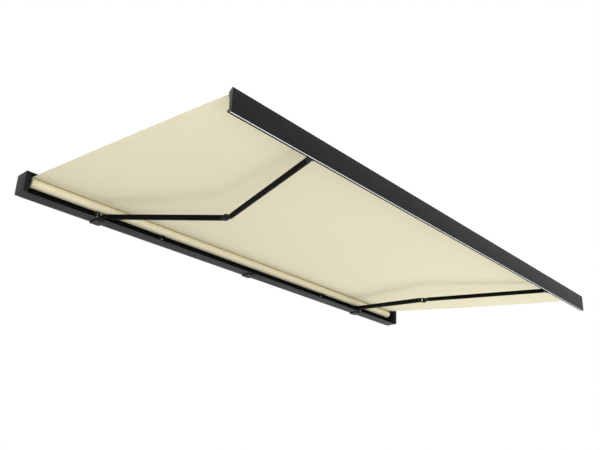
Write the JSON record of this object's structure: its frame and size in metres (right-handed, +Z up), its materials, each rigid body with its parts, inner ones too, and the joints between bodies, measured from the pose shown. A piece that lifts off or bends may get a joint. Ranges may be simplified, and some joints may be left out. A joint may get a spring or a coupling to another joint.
{
  "type": "canvas awning",
  "caption": "Cassette awning drawn out on folding arms: cream canvas runs from a roller under a dark hood to a deep front bar.",
  "frame": {"origin": "middle of the centre wall bracket's wall face, level with the cassette's underside", "axes": "+X along the cassette to its right end as seen from outside, +Y into the wall, +Z up; the awning opens along -Y"},
  "size_m": [5, 2.4755, 0.413],
  "materials": {
    "powder_coat": "fine textured anthracite powder coat",
    "cast_black": "satin black powder coat",
    "bright_steel": "turned stainless steel",
    "spring_steel": "oiled spring steel",
    "raw_aluminium": "mill finish",
    "black_plastic": "fine grained black",
    "white_plastic": "smooth white",
    "canvas": "woven cream awning canvas"
  },
  "bodies": {
    "cassette": {"back_profile": "powder_coat", "bottom_profile": "powder_coat", "hood": "powder_coat", "left_end_cap": "powder_coat", "right_end_cap": "powder_coat", "left_bearing_plate": "cast_black", "right_bearing_plate": "cast_black", "left_wall_bracket": "powder_coat", "middle_wall_bracket": "powder_coat", "right_wall_bracket": "powder_coat", "left_wall_screw": "bright_steel", "middle_wall_screw": "bright_steel", "right_wall_screw": "bright_steel", "left_shoulder_bracket": "cast_black", "right_shoulder_bracket": "cast_black", "left_shoulder_pin": "bright_steel", "right_shoulder_pin": "bright_steel", "left_arm_rest": "black_plastic", "right_arm_rest": "black_plastic", "tube_motor": "black_plastic", "canvas_sheet": "canvas"},
    "roller": {"roller_tube": "raw_aluminium", "canvas_roll": "canvas", "drive_wheel": "black_plastic", "motor_crown": "black_plastic", "idler_plug": "black_plastic"},
    "left_upper_arm": {"left_shoulder_knuckle": "cast_black", "left_upper_tube": "cast_black", "left_arm_spring": "spring_steel", "left_pull_rod": "spring_steel", "left_elbow_fork": "cast_black", "left_elbow_pin": "bright_steel"},
    "left_forearm": {"left_elbow_knuckle": "cast_black", "left_forearm_tube": "cast_black", "left_wrist_knuckle": "cast_black"},
    "front_bar": {"front_profile": "powder_coat", "left_bar_cap": "black_plastic", "right_bar_cap": "black_plastic", "light_strip": "white_plastic", "front_keder": "white_plastic", "left_wrist_bracket": "cast_black", "right_wrist_bracket": "cast_black", "left_wrist_pin": "bright_steel", "right_wrist_pin": "bright_steel"},
    "right_upper_arm": {"right_shoulder_knuckle": "cast_black", "right_upper_tube": "cast_black", "right_arm_spring": "spring_steel", "right_pull_rod": "spring_steel", "right_elbow_fork": "cast_black", "right_elbow_pin": "bright_steel"},
    "right_forearm": {"right_elbow_knuckle": "cast_black", "right_forearm_tube": "cast_black", "right_wrist_knuckle": "cast_black"}
  },
  "joints": [
    {"name": "left_shoulder", "type": "hinge", "parent": "cassette", "child": "left_upper_arm", "pos_m": [-1.75, -0.09, 0.047], "axis": [-0.0698, -0.1095, 0.9915], "range_deg": [0, 72.5], "deforming": ["canvas_sheet"]},
    {"name": "left_elbow", "type": "hinge", "parent": "left_upper_arm", "child": "left_forearm", "pos_m": [-1.39768, -1.2424, -0.15649], "axis": [-0.0698, -0.1095, 0.9915], "range_deg": [-145, 0]},
    {"name": "left_wrist", "type": "hinge", "parent": "left_forearm", "child": "front_bar", "pos_m": [-1.75112, -2.41319, -0.19342], "axis": [-0.0698, -0.1095, 0.9915], "range_deg": [0, 72.5]},
    {"name": "right_shoulder", "type": "hinge", "parent": "cassette", "child": "right_upper_arm", "pos_m": [1.75, -0.09, 0.047], "axis": [0.0698, -0.1095, 0.9915], "range_deg": [-72.5, 0]},
    {"name": "right_elbow", "type": "hinge", "parent": "right_upper_arm", "child": "right_forearm", "pos_m": [1.39768, -1.2424, -0.15649], "axis": [0.0698, -0.1095, 0.9915], "range_deg": [0, 145]},
    {"name": "roller_turn", "type": "hinge", "parent": "cassette", "child": "roller", "pos_m": [0, -0.072, 0.1205], "axis": [1, 0, 0], "range_deg": [-3060, 0]}
  ],
  "couplings": [
    {"joint": "left_elbow", "follows": "left_shoulder", "ratio": -2},
    {"joint": "left_wrist", "follows": "left_shoulder", "ratio": 1},
    {"joint": "right_shoulder", "follows": "left_shoulder", "ratio": -1},
    {"joint": "right_elbow", "follows": "left_shoulder", "ratio": 2},
    {"joint": "roller_turn", "follows": "left_shoulder", "ratio": -42}
  ]
}
